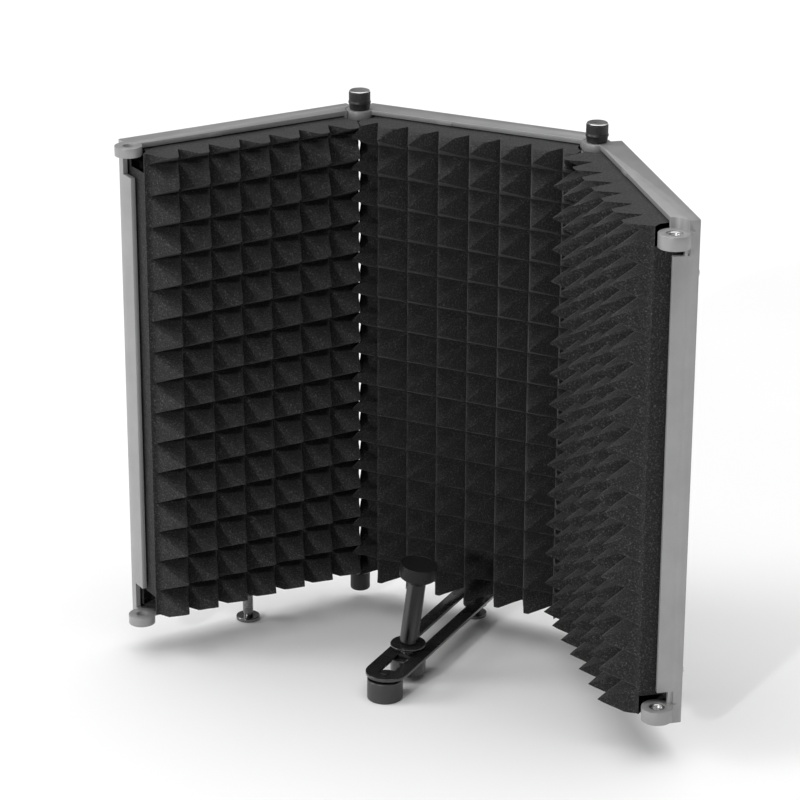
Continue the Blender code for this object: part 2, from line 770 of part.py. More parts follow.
def stand_stud_profile():
    """The stud in the slot's end, flush with the arm's top, with a collar under the arm."""
    collar = STAND_STUD_R + 0.0018
    return [
        (0.0, STAND_SOCKET_DEPTH + GAP),
        (STAND_STUD_R, STAND_SOCKET_DEPTH + GAP),
        (STAND_STUD_R, STAND_KNOB_TOP + GAP),
        (collar, STAND_KNOB_TOP + GAP),
        (collar, ARM_BOTTOM - GAP),
        (STAND_STUD_R, ARM_BOTTOM - GAP),
        (STAND_STUD_R, ARM_TOP),
        (0.0, ARM_TOP),
    ]


# Assembly


def place_panel(side, pivot, offset, meshes, materials):
    """One panel's pieces under its pivot; offset moves the panel's left axis from the pivot."""
    shift = (offset, 0.0, 0.0)
    place(side + "_frame", meshes["frame"], materials["frame_silver"], shift, pivot)
    place(side + "_back_plate", meshes["plate"], materials["plate_black"], shift, pivot)
    foam = meshes["centre_foam" if side == "centre" else "side_foam"]
    place(side + "_foam_pad", foam, materials["foam_black"], shift, pivot)
    for number, (u, z) in enumerate(plate_screw_places(), 1):
        name = f"{side}_plate_screw_{number}"
        location, rotation = (offset + u, FRAME_DEPTH, z), (-math.pi / 2, 0.0, 0.0)
        place(name, meshes["plate_screw"], materials["bright_metal"], location, pivot, rotation)
    right_axis = (offset + PANEL_PITCH, 0.0, 0.0)
    for level in ("upper", "lower"):
        mesh = meshes[level + "_insert"]
        place(f"{side}_{level}_insert", mesh, materials["bright_metal"], right_axis, pivot)
    foot_place = (offset + PANEL_PITCH / 2, FOOT_DEPTH, 0.0)
    place(side + "_foot", meshes["foot"], materials["dark_chrome"], foot_place, pivot)


def place_hinge(line, parent, axis_u, meshes, materials):
    """The two screws and grips on one hinge axis, under the panel that their inserts sit in."""
    for level in ("upper", "lower"):
        name = f"{line}_{level}"
        location = (axis_u, 0.0, 0.0)
        place(name + "_screw", meshes[level + "_screw"], materials["bright_metal"], location, parent)
        place(name + "_grip", meshes[level + "_grip"], materials["grip_black"], location, parent)


def panel_meshes():
    _, upper_bushed, _, lower_bushed = lug_rows()
    return {
        "frame": frame_mesh(),
        "plate": plate_mesh(),
        "side_foam": side_foam_mesh(),
        "centre_foam": centre_foam_mesh(),
        "plate_screw": turned("plate_screw", plate_screw_profile(), SCREW_ROUND),
        "upper_insert": turned("upper_insert", insert_profile(*upper_bushed), SMALL_ROUND),
        "lower_insert": turned("lower_insert", insert_profile(*lower_bushed), SMALL_ROUND),
        "foot": turned("foot", foot_profile(), SMALL_ROUND),
        "upper_screw": turned("upper_screw", upper_screw_profile(), SMALL_ROUND),
        "lower_screw": turned("lower_screw", lower_screw_profile(), SMALL_ROUND),
        "upper_grip": turned("upper_grip", upper_grip_profile(), SMALL_ROUND),
        "lower_grip": turned("lower_grip", lower_grip_profile(), SMALL_ROUND),
    }


def build_panels(materials):
    hinge_y = -FOOT_DEPTH
    half = PANEL_PITCH / 2
    left = empty("left_panel_pivot", (-half, hinge_y, FRAME_BASE), LEFT_FOLD)
    centre = empty("centre_panel_pivot", (-half, hinge_y, FRAME_BASE))
    right = empty("right_panel_pivot", (half, hinge_y, FRAME_BASE), -RIGHT_FOLD)
    meshes = panel_meshes()
    place_panel("left", left, -PANEL_PITCH, meshes, materials)
    place_panel("centre", centre, 0.0, meshes, materials)
    place_panel("right", right, 0.0, meshes, materials)
    place_hinge("left_hinge", left, 0.0, meshes, materials)
    place_hinge("right_hinge", centre, PANEL_PITCH, meshes, materials)


def build_arm_clamp(materials):
    """The spacer, washer and nut that hold the arm on the centre foot's post."""
    spacer = tube_profile(FOOT_HOLE_R, SPACER_R, ARM_TOP + GAP, FRAME_BASE - GAP)
    place("arm_spacer", turned("arm_spacer", spacer, SMALL_ROUND), materials["grip_black"])
    top = ARM_BOTTOM - GAP
    washer = tube_profile(FOOT_HOLE_R, CLAMP_WASHER_R, top - CLAMP_WASHER, top)
    place("arm_clamp_washer", turned("arm_clamp_washer", washer, SMALL_ROUND), materials["dark_chrome"])
    top -= CLAMP_WASHER + GAP
    nut = tube_profile(FOOT_HOLE_R, CLAMP_NUT_R, top - CLAMP_NUT, top, 0.0005)
    place("arm_clamp_nut", turned("arm_clamp_nut", nut, SMALL_ROUND), materials["grip_black"])


def build_microphone_post(materials):
    carriage = (0.0, MIC_Y, 0.0)
    place("slot_guide", slot_guide_mesh(), materials["grip_black"], carriage)
    stud = turned("swivel_stud", swivel_stud_profile(), SMALL_ROUND)
    place("swivel_stud", stud, materials["dark_chrome"], carriage)
    cap = turned("socket_cap", socket_cap_profile())
    place("socket_cap", cap, materials["arm_black"], carriage)
    top = ARM_BOTTOM - GAP
    nut = tube_profile(STUD_R + GAP, CARRIAGE_NUT_R, top - CARRIAGE_NUT, top, 0.0008)
    place("carriage_nut", turned("carriage_nut", nut), materials["arm_black"], carriage)
    pivot = empty("mic_post_pivot", (0.0, MIC_Y, BALL_Z))
    pivot.rotation_euler = (0.0, MIC_LEAN, 0.0)
    place("mic_post", turned("mic_post", post_profile(), 24), materials["knob_grey"], parent=pivot)
    place("mic_post_cap", turned("mic_post_cap", head_profile()), materials["arm_black"], parent=pivot)


def build_stand_adapter(materials):
    place_at = (0.0, STAND_Y, 0.0)
    knob = turned("stand_knob", stand_knob_profile())
    place("stand_knob", knob, materials["knob_grey"], place_at)
    stud = turned("stand_stud", stand_stud_profile(), SMALL_ROUND)
    place("stand_stud", stud, materials["arm_black"], place_at)


def main():
    clear_scene()
    materials = make_materials()
    build_panels(materials)
    place("slotted_arm", arm_mesh(), materials["arm_black"])
    build_arm_clamp(materials)
    build_microphone_post(materials)
    build_stand_adapter(materials)


main()
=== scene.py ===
"""Looks of the folding microphone isolation shield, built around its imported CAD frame."""

import json
import math

import bmesh
import bpy
from mathutils import Matrix, Vector, noise

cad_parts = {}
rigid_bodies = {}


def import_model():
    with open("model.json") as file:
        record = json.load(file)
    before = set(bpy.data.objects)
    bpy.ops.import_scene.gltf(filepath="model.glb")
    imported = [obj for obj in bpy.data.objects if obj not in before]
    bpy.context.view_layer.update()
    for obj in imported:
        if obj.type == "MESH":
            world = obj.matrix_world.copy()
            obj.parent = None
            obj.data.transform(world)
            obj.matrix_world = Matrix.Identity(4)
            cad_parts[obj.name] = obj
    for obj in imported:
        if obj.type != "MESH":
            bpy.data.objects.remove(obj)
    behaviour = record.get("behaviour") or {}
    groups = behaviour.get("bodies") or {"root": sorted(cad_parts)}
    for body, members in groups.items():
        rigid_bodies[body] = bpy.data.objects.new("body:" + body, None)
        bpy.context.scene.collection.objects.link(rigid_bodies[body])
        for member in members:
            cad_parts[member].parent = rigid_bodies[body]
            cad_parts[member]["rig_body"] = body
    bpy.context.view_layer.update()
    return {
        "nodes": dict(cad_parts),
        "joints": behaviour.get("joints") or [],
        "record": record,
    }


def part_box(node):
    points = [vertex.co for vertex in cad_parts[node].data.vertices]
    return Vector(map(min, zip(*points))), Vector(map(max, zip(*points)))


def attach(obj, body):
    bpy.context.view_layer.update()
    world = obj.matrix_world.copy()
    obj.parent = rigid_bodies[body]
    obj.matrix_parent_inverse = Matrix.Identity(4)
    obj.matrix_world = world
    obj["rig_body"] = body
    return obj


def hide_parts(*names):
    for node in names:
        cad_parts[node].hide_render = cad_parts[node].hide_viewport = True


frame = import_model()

NODES = frame["nodes"]
JOINTS = {joint["name"]: joint for joint in frame["joints"]}
SLOTS = {part["node"]: part["material_slot"] for part in frame["record"]["subparts"]}
SIDES = ("left", "centre", "right")
MM = 0.001
UP = Vector((0.0, 0.0, 1.0))

# The camera stands in front, to the right and above, and looks down at the shield
CAMERA_PLACE = (0.78881, -1.73531, 0.89753)
CAMERA_YAW = math.radians(25.99)
CAMERA_PITCH = math.radians(68.75)
CAMERA_ROLL = math.radians(0.21)
CAMERA_LENS = 139.1

# Foam pads, in the panel's own axes: u along the panel, z up from the bottom of its frame
FOAM_EDGES = (5.8 * MM, 159.9 * MM)
FOAM_HEIGHTS = (5.5 * MM, 321.0 * MM)
FOAM_FRONT = -10.0 * MM
FOAM_BACK = 12.7 * MM
PYRAMID_PITCH_U = 21.557 * MM
PYRAMID_PITCH_Z = 20.8 * MM
PYRAMID_HEIGHT = 23.5 * MM
PYRAMID_BLUNT = 0.022
PYRAMID_SQUARENESS = 18.0
# Where each pad's pyramids start and end along it, and a height that one row's tips stand at
SIDE_FIELD = (7.7 * MM, 158.6 * MM, 303.5 * MM)
CENTRE_FIELD = (-3.08 * MM, 169.38 * MM, 295.1 * MM)
# Where the centre pad is cut back round its neighbours' teeth
CORNER_START = 6.0 * MM
CORNER_REACH = 6.0 * MM
CORNER_CLEARANCE = 2.2 * MM
CORNER_WIDTH = 24.0 * MM
CORNER_STEP = 0.3 * MM
# Mesh cells along each side of one pyramid, and layers in the pad's walls
CELL_STEPS = 12
WALL_LAYERS = 9
NOTCH_LEFT_R = 10.5 * MM
NOTCH_RIGHT_R = 11.7 * MM
NOTCH_DEPTH = 12.5 * MM

# Perforated back plates
PLATE_EDGES = (4.3 * MM, 162.0 * MM)
PLATE_HEIGHTS = (3.3 * MM, 321.7 * MM)
PLATE_DEPTHS = (13.0 * MM, 14.2 * MM)
PLATE_MARGIN = 9.5 * MM
HOLE_R = 2.2 * MM
HOLE_PITCH = 7.2 * MM
HOLE_SIDES = 12

# Frames and the screws in their rear lips
FRAME_EDGE_R = 0.35 * MM
FRAME_BACK = 16.0 * MM
SCREW_INSET = 6.5 * MM
SCREW_HEIGHTS = (34.0 * MM, 291.0 * MM)

# Hinge screws, their grips and the bushes they run in
SHANK_R = 3.1 * MM
SHANK_TIP_R = 2.5 * MM
BUSH_R = 4.7 * MM
BUSH_BORE_R = 3.45 * MM
HINGE_PITCH = 0.9 * MM
UPPER_GRIP_R = 7.0 * MM
LOWER_GRIP_R = 6.7 * MM
KNURL_DEPTH = 0.16 * MM
KNURL_FADE = 0.6 * MM

# Screw feet
FOOT_R = 8.0 * MM
FOOT_DISC = 2.8 * MM
FOOT_POST_R = 3.5 * MM
FOOT_THREAD_START = 18.0 * MM
FOOT_PITCH = 1.0 * MM


# Materials


def new_material(name, roughness, metallic, **values):
    material = bpy.data.materials.new(name)
    material.use_nodes = True
    shader = material.node_tree.nodes["Principled BSDF"]
    shader.inputs["Metallic"].default_value = metallic
    shader.inputs["Roughness"].default_value = roughness
    for socket, value in values.items():
        shader.inputs[socket.replace("_", " ")].default_value = value
    return material, material.node_tree, shader


def texture(tree, kind, scale, stretch=(1.0, 1.0, 1.0), **settings):
    """A procedural texture in the object's own metres; scale is in features per metre."""
    place = tree.nodes.new("ShaderNodeTexCoord")
    mapping = tree.nodes.new("ShaderNodeMapping")
    mapping.inputs["Scale"].default_value = stretch
    node = tree.nodes.new(kind)
    node.inputs["Scale"].default_value = scale
    for socket, value in settings.items():
        node.inputs[socket.replace("_", " ")].default_value = value
    tree.links.new(place.outputs["Object"], mapping.inputs["Vector"])
    tree.links.new(mapping.outputs["Vector"], node.inputs["Vector"])
    return node


def ramp(tree, source, stops):
    """A grey ramp over a texture's output, with stops of (place, grey)."""
    node = tree.nodes.new("ShaderNodeValToRGB")
    elements = node.color_ramp.elements
    while len(elements) < len(stops):
        elements.new(0.5)
    for element, (place, value) in zip(elements, stops):
        element.position = place
        element.color = (value, value, value, 1.0)
    tree.links.new(source, node.inputs["Fac"])
    return node.outputs["Color"]


def bump(tree, shader, height, distance, strength=1.0, below=None):
    node = tree.nodes.new("ShaderNodeBump")
    node.inputs["Distance"].default_value = distance
    node.inputs["Strength"].default_value = strength
    tree.links.new(height, node.inputs["Height"])
    if below:
        tree.links.new(below, node.inputs["Normal"])
    tree.links.new(node.outputs["Normal"], shader.inputs["Normal"])
    return node.outputs["Normal"]


def painted(name, dark, light, roughness, metallic, grain=0.04 * MM, grain_scale=2600.0, **values):
    """A painted or moulded surface with faint mottling, uneven gloss and a fine grain."""
    material, tree, shader = new_material(name, roughness, metallic, **values)
    cloud = texture(tree, "ShaderNodeTexNoise", 45.0, Detail=5.0, Roughness=0.6)
    colour = ramp(tree, cloud.outputs["Fac"], ((0.3, dark), (0.7, light)))
    tree.links.new(colour, shader.inputs["Base Color"])
    smudge = texture(tree, "ShaderNodeTexNoise", 110.0, Detail=6.0, Roughness=0.65)
    gloss = ramp(tree, smudge.outputs["Fac"], ((0.3, roughness - 0.05), (0.72, roughness + 0.07)))
    tree.links.new(gloss, shader.inputs["Roughness"])
    fine = texture(tree, "ShaderNodeTexNoise", grain_scale, Detail=3.0)
    bump(tree, shader, fine.outputs["Fac"], grain)
    return material


def brushed(name, dark, light, roughness, stretch=(0.5, 0.5, 7.0)):
    """Turned metal with fine tool marks round it."""
    material, tree, shader = new_material(name, roughness, 1.0)
    cloud = texture(tree, "ShaderNodeTexNoise", 260.0, stretch, Detail=5.0)
    colour = ramp(tree, cloud.outputs["Fac"], ((0.3, dark), (0.7, light)))
    tree.links.new(colour, shader.inputs["Base Color"])
    gloss = ramp(tree, cloud.outputs["Fac"], ((0.25, roughness - 0.06), (0.75, roughness + 0.1)))
    tree.links.new(gloss, shader.inputs["Roughness"])
    marks = texture(tree, "ShaderNodeTexNoise", 700.0, stretch, Detail=2.0)
    bump(tree, shader, marks.outputs["Fac"], 0.03 * MM)
    return material


def open_cell_foam():
    """Charcoal foam: pores of under a millimetre with paler cell walls, and broad soft patches."""
    material, tree, shader = new_material("foam_open_cell", 0.95, 0.0)
    shader.inputs["Specular IOR Level"].default_value = 0.15
    shader.inputs["Sheen Weight"].default_value = 0.10
    shader.inputs["Sheen Roughness"].default_value = 0.6
    speckle = texture(tree, "ShaderNodeTexNoise", 900.0, Detail=4.0, Roughness=0.8)
    patches = texture(tree, "ShaderNodeTexNoise", 150.0, Detail=5.0, Roughness=0.7)
    fleck = ramp(tree, speckle.outputs["Fac"], ((0.38, 0.009), (0.55, 0.021), (0.66, 0.100)))
    tone = ramp(tree, patches.outputs["Fac"], ((0.3, 0.75), (0.7, 1.0)))
    mix = tree.nodes.new("ShaderNodeMix")
    mix.data_type = "RGBA"
    mix.blend_type = "MULTIPLY"
    mix.inputs["Factor"].default_value = 1.0
    tree.links.new(fleck, mix.inputs[6])
    tree.links.new(tone, mix.inputs[7])
    tree.links.new(mix.outputs[2], shader.inputs["Base Color"])
    pores = texture(tree, "ShaderNodeTexVoronoi", 1100.0, Randomness=1.0)
    rough = bump(tree, shader, speckle.outputs["Fac"], 0.35 * MM, 0.7)
    bump(tree, shader, pores.outputs["Distance"], 0.3 * MM, 0.6, rough)
    return material


def lacquer_with_painted_streaks(name, dark, light, roughness, lean):
    """Dark lacquered metal with faint streaked painted highlights along the microphone post."""
    material, tree, shader = new_material(name, roughness, 0.0, Specular_IOR_Level=0.3)
    painted_highlight_streaks = texture(tree, "ShaderNodeTexNoise", 210.0, Detail=3.0, Roughness=0.45)
    mapping = painted_highlight_streaks.inputs["Vector"].links[0].from_node
    mapping.vector_type = "TEXTURE"
    mapping.inputs["Rotation"].default_value = lean
    mapping.inputs["Scale"].default_value = (1.0, 1.0, 30.0)
    # Lighter bands of base colour along the post are painted highlights, standing in for
    # reflections of the studio lights.
    colour = ramp(tree, painted_highlight_streaks.outputs["Fac"], ((0.42, dark), (0.60, light)))
    tree.links.new(colour, shader.inputs["Base Color"])
    gloss = ramp(tree, painted_highlight_streaks.outputs["Fac"], ((0.3, roughness), (0.7, roughness + 0.08)))
    tree.links.new(gloss, shader.inputs["Roughness"])
    fine = texture(tree, "ShaderNodeTexNoise", 2600.0, Detail=3.0)
    bump(tree, shader, fine.outputs["Fac"], 0.02 * MM)
    return material


def make_materials():
    return {
        "frame_silver": painted("satin_silver", 0.29, 0.33, 0.36, 0.30),
        "plate_black": painted("powder_coat", 0.018, 0.028, 0.55, 0.2, 0.12 * MM, 1500.0),
        "foam_black": open_cell_foam(),
        "bright_metal": brushed("turned_steel", 0.50, 0.66, 0.30),
        "grip_black": painted("grip_plastic", 0.011, 0.017, 0.42, 0.0),
        "dark_chrome": brushed("black_chrome", 0.15, 0.26, 0.22),
        "arm_black": painted("arm_paint", 0.011, 0.018, 0.28, 0.0, Coat_Weight=0.6),
        "knob_grey": painted("knob_paint", 0.028, 0.042, 0.42, 0.1, 0.10 * MM, 1900.0),
    }


MATERIALS = make_materials()


# Places


# How far each side panel is folded forward at rest, from flat with the centre panel
LEFT_FOLD = math.radians(-JOINTS["left_panel_hinge"]["range_deg"][0])
RIGHT_FOLD = math.radians(JOINTS["right_panel_hinge"]["range_deg"][1])


def panel_axes():
    """For each panel, the matrix from its own axes (u, v, z) to the model's, and their pitch."""
    left = Vector(JOINTS["left_panel_hinge"]["pos_m"])
    right = Vector(JOINTS["right_panel_hinge"]["pos_m"])
    left.z = right.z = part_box("centre_back_plate")[0].z - PLATE_HEIGHTS[0]
    pitch = (right - left).length
    shift = Matrix.Translation((-pitch, 0.0, 0.0))
    return {
        "left": Matrix.Translation(left) @ Matrix.Rotation(LEFT_FOLD, 4, "Z") @ shift,
        "centre": Matrix.Translation(left),
        "right": Matrix.Translation(right) @ Matrix.Rotation(-RIGHT_FOLD, 4, "Z"),
    }, pitch


PANELS, PANEL_PITCH = panel_axes()


def upright(node):
    """The matrix that stands a profile on the middle of a node's underside."""
    low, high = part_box(node)
    return Matrix.Translation(((low.x + high.x) / 2, (low.y + high.y) / 2, low.z))


def height_of(node):
    low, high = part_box(node)
    return high.z - low.z


# Mesh helpers


def add_piece(name, bm, node, smooth=35.0, *more_materials):
    """Makes a finished piece of a bmesh, which takes over its CAD node's body and material slot."""
    bmesh.ops.recalc_face_normals(bm, faces=bm.faces)
    mesh = bpy.data.meshes.new(name)
    bm.to_mesh(mesh)
    bm.free()
    mesh.shade_smooth()
    mesh.set_sharp_from_angle(angle=math.radians(smooth))
    for material in (MATERIALS[SLOTS[node]], *more_materials):
        mesh.materials.append(material)
    obj = bpy.data.objects.new(name, mesh)
    bpy.context.scene.collection.objects.link(obj)
    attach(obj, NODES[node]["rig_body"])
    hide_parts(node)
    return obj


def cad_copy(node):
    """A bmesh of a CAD node with its triangles joined back into whole faces."""
    bm = bmesh.new()
    bm.from_mesh(NODES[node].data)
    bmesh.ops.remove_doubles(bm, verts=bm.verts, dist=2e-6)
    flat = math.radians(0.5)
    bmesh.ops.dissolve_limit(bm, angle_limit=flat, verts=bm.verts, edges=bm.edges)
    return bm


def soften(bm, width, segments=2, least=25.0):
    """Rounds every edge sharper than an angle."""
    limit = math.radians(least)
    edges = [edge for edge in bm.edges if edge.is_manifold and edge.calc_face_angle() > limit]
    bmesh.ops.bevel(
        bm,
        geom=edges,
        offset=width,
        segments=segments,
        profile=0.5,
        affect="EDGES",
        clamp_overlap=True,
    )


def cut(bm, cutters):
    """The bmesh after a Boolean difference with each cutter bmesh."""
    scene = bpy.context.scene.collection
    target = bpy.data.objects.new("cut_target", bpy.data.meshes.new("cut_target"))
    bm.to_mesh(target.data)
    bm.free()
    scene.objects.link(target)
    helpers = []
    for cutter in cutters:
        bmesh.ops.recalc_face_normals(cutter, faces=cutter.faces)
        helper = bpy.data.objects.new("cutter", bpy.data.meshes.new("cutter"))
        cutter.to_mesh(helper.data)
        cutter.free()
        scene.objects.link(helper)
        modifier = target.modifiers.new("cut", "BOOLEAN")
        modifier.operation = "DIFFERENCE"
        modifier.solver = "EXACT"
        modifier.object = helper
        helpers.append(helper)
    bpy.context.view_layer.update()
    evaluated = target.evaluated_get(bpy.context.evaluated_depsgraph_get())
    result = bmesh.new()
    result.from_mesh(evaluated.to_mesh())
    evaluated.to_mesh_clear()
    for obj in (target, *helpers):
        bpy.data.objects.remove(obj, do_unlink=True)
    return result


def in_mm(corners):
    """Profile corners given in millimetres, in metres; a mark after the two numbers is kept."""
    return [(radius * MM, height * MM, *mark) for radius, height, *mark in corners]


def rounded(corners, radius, steps=3):
    """A profile with each inner corner replaced by a small curve, unless it is marked sharp."""
    points = [Vector(corner[:2]) for corner in corners]
    result = [points[0]]
    for index in range(1, len(points) - 1):
        before, corner, after = points[index - 1 : index + 2]
        if len(corners[index]) > 2:
            result.append(corner)
            continue
        reach = min(radius, (before - corner).length * 0.45, (after - corner).length * 0.45)
        first = corner + (before - corner).normalized() * reach
        last = corner + (after - corner).normalized() * reach
        for step in range(steps + 1):
            t = step / steps
            result.append(first * (1 - t) ** 2 + corner * 2 * t * (1 - t) + last * t**2)
    result.append(points[-1])
    return result


def turned(profile, place, segments=72, shape=None):
    """A bmesh turned about Z from (radius, height) points, then put in place by a matrix.

    shape(radius, height, angle) may change a point's radius, as for a knurl or a thread.
    """
    bm = bmesh.new()
    rings = []
    for radius, height in profile:
        if radius < 1e-7:
            rings.append([bm.verts.new(place @ Vector((0.0, 0.0, height)))])
            continue
        ring = []
        for step in range(segments):
            angle = 2 * math.pi * step / segments
            reach = shape(radius, height, angle) if shape else radius
            point = Vector((reach * math.cos(angle), reach * math.sin(angle), height))
            ring.append(bm.verts.new(place @ point))
        rings.append(ring)
    pairs = list(zip(rings, rings[1:]))
    if profile[0][0] > 1e-7:
        pairs.append((rings[-1], rings[0]))
    for first, second in pairs:
        for step in range(segments):
            corners = [first[step % len(first)], first[(step + 1) % len(first)]]
            corners += [second[(step + 1) % len(second)], second[step % len(second)]]
            bm.faces.new(list(dict.fromkeys(corners)))
    return bm


def knurl(radius, depth, teeth, low, high):
    """A shape that cuts straight teeth into the wall at a radius, fading out at both ends."""

    def shape(at, height, angle):
        if abs(at - radius) > 0.25 * MM:
            return at
        inside = min((height - low) / KNURL_FADE, (high - height) / KNURL_FADE)
        fade = min(1.0, max(0.0, inside))
        return at - depth * fade * (0.5 - 0.5 * math.cos(teeth * angle))

    return shape


def thread(radius, depth, pitch, low, high):
    """A shape that cuts a screw thread into the wall at a radius between two heights."""

    def shape(at, height, angle):
        if abs(at - radius) > 0.05 * MM or not low < height < high:
            return at
        turn = (height / pitch - angle / (2 * math.pi)) % 1.0
        return at - depth * abs(2 * turn - 1)

    return shape


def wall(radius, low, high, step):
    """Profile points up (or down) a straight wall, close enough together for a thread."""
    count = max(1, round(abs(high - low) / step))
    return [(radius, low + (high - low) * index / count) for index in range(count + 1)]


def with_wall_ends(profile, before_end):
    """A profile with extra points near both ends of each tall wall, for a knurl to fade out at."""
    dense = []
    for (radius, height), (next_radius, next_height) in zip(profile, profile[1:]):
        dense.append((radius, height))
        if next_height - height > 2 * MM:
            dense.append((radius, height + 0.7 * MM))
            dense.append((next_radius, next_height - before_end))
    return [*dense, profile[-1]]


# Panels


def build_frames():
    for side in SIDES:
        node = side + "_frame"
        bm = cad_copy(node)
        soften(bm, FRAME_EDGE_R)
        add_piece(side + "_panel_frame", bm, node)


def pyramid_rise(u, z, field):
    """How far the foam stands out at a point of a pyramid field, with blunt tips and valleys."""
    low, high, peak_z = field
    if not low < u < high:
        return 0.0
    across = ((u - low) / PYRAMID_PITCH_U) % 1.0 * 2 - 1
    along = ((z - peak_z) / PYRAMID_PITCH_Z + 0.5) % 1.0 * 2 - 1
    power = PYRAMID_SQUARENESS
    away = (abs(across) ** power + abs(along) ** power) ** (1 / power)
    slope = math.hypot(1 - min(1.0, away), PYRAMID_BLUNT)
    return PYRAMID_HEIGHT * min(slope, 1 - PYRAMID_BLUNT)


def corner_limit(away, z, fold, reach):
    """How far the centre pad may stand out, at a distance from a hinge, before the next pad."""
    half = (math.pi - fold) / 2
    limit = min(reach, (away * math.sin(half) + CORNER_REACH) / math.cos(half))
    turn = math.pi - fold
    out = -FOAM_FRONT
    while out < limit:
        beside = away * math.cos(turn) + out * math.sin(turn)
        depth = away * math.sin(turn) - out * math.cos(turn)
        foam = -FOAM_FRONT + CORNER_CLEARANCE
        foam += pyramid_rise(beside, z, SIDE_FIELD)
        if beside > CORNER_START and depth < foam:
            return out
        out += CORNER_STEP
    return limit


def foam_front(u, z, side):
    """The depth of a pad's front surface at a point, in the panel's axes."""
    if side != "centre":
        return FOAM_FRONT - pyramid_rise(u, z, SIDE_FIELD)
    reach = pyramid_rise(u, z, CENTRE_FIELD) - FOAM_FRONT
    for away, fold in ((u, LEFT_FOLD), (PANEL_PITCH - u, RIGHT_FOLD)):
        if away < CORNER_WIDTH:
            reach = corner_limit(away, z, fold, reach)
    return -reach


def spread(low, high, start, pitch):
    """Places from low to high that include every multiple of pitch from start."""
    inside = [low, high]
    place = start + math.ceil((low - start) / pitch) * pitch
    while place < high:
        if place - low > 0.15 * pitch and high - place > 0.15 * pitch:
            inside.append(place)
        place += pitch
    return sorted(inside)


def foam_block(side):
    """The pad in the panel's axes: a fine front surface of pyramids, sides and a flat back."""
    start, _, peak_z = CENTRE_FIELD if side == "centre" else SIDE_FIELD
    step_u = PYRAMID_PITCH_U / CELL_STEPS
    step_z = PYRAMID_PITCH_Z / CELL_STEPS
    columns = spread(*FOAM_EDGES, start, step_u)
    rows = spread(*FOAM_HEIGHTS, peak_z, step_z)
    bm = bmesh.new()
    front = [[bm.verts.new((u, foam_front(u, z, side), z)) for u in columns] for z in rows]
    for below, above, z in zip(front, front[1:], rows):
        row_half = ((z + step_z / 2 - peak_z) / PYRAMID_PITCH_Z) % 1.0 < 0.5
        for index in range(len(columns) - 1):
            a, b = below[index], below[index + 1]
            c, d = above[index + 1], above[index]
            across = (a.co.x + step_u / 2 - start) / PYRAMID_PITCH_U
            if (across % 1.0 > 0.5) == row_half:
                bm.faces.new((a, b, c))
                bm.faces.new((a, c, d))
            else:
                bm.faces.new((a, b, d))
                bm.faces.new((b, c, d))
    rim = front[0] + [row[-1] for row in front[1:-1]] + front[-1][::-1]
    rim += [row[0] for row in reversed(front[1:-1])]
    add_foam_sides(bm, rim)
    return bm


def add_foam_sides(bm, rim):
    """Walls from the front surface's rim back to the flat rear face."""
    rings = [rim]
    for layer in range(1, WALL_LAYERS + 1):
        share = layer / WALL_LAYERS
        ring = []
        for vert in rim:
            depth = vert.co.y + (FOAM_BACK - vert.co.y) * share
            ring.append(bm.verts.new((vert.co.x, depth, vert.co.z)))
        rings.append(ring)
    for first, second in zip(rings, rings[1:]):
        for index in range(len(rim)):
            following = (index + 1) % len(rim)
            bm.faces.new((first[index], first[following], second[following], second[index]))
    bm.faces.new(rings[-1])


def cylinder(centre, radius, low, high, segments=40):
    bm = bmesh.new()
    matrix = Matrix.Translation((centre[0], centre[1], (low + high) / 2))
    bmesh.ops.create_cone(
        bm,
        cap_ends=True,
        segments=segments,
        radius1=radius,
        radius2=radius,
        depth=high - low,
        matrix=matrix,
    )
    return bm


def foam_notches():
    """Cutters of the four corners where the lugs turn."""
    low, high = FOAM_HEIGHTS
    cutters = []
    for u, radius in ((0.0, NOTCH_LEFT_R), (PANEL_PITCH, NOTCH_RIGHT_R)):
        cutters.append(cylinder((u, 0.0), radius, high - NOTCH_DEPTH, high + 5 * MM))
        cutters.append(cylinder((u, 0.0), radius, low - 5 * MM, low + NOTCH_DEPTH))
    return cutters


def roughen(bm, seed):
    """Moves each point a little along its normal, in broad waves and in small grains."""
    bm.normal_update()
    shift = Vector((seed, -seed, seed))
    moves = []
    for vert in bm.verts:
        broad = noise.noise(vert.co * 60.0 + shift) * 0.30
        grain = noise.noise(vert.co * 420.0 + shift) * 0.16
        moves.append(vert.normal * (broad + grain - 0.1) * MM)
    for vert, move in zip(bm.verts, moves):
        vert.co += move


def build_foam():
    for seed, side in enumerate(SIDES):
        node = side + "_foam_pad"
        bm = cut(foam_block(side), foam_notches())
        bmesh.ops.recalc_face_normals(bm, faces=bm.faces)
        roughen(bm, 7.3 * seed)
        bmesh.ops.transform(bm, matrix=PANELS[side], verts=bm.verts)
        add_piece(side + "_foam", bm, node, 70.0)


def hole_cell(bm, x, z):
    """A hexagonal cell of sheet around one round hole: quads between the hole and the edge."""
    reach = HOLE_PITCH / 2
    inner, outer = [], []
    for step in range(HOLE_SIDES):
        angle = 2 * math.pi * step / HOLE_SIDES
        c, s = math.cos(angle), math.sin(angle)
        edge = reach if step % 2 == 0 else reach / math.cos(math.pi / 6)
        inner.append(bm.verts.new((x + HOLE_R * c, 0.0, z + HOLE_R * s)))
        outer.append(bm.verts.new((x + edge * c, 0.0, z + edge * s)))
    for step in range(HOLE_SIDES):
        following = (step + 1) % HOLE_SIDES
        bm.faces.new((inner[step], outer[step], outer[following], inner[following]))


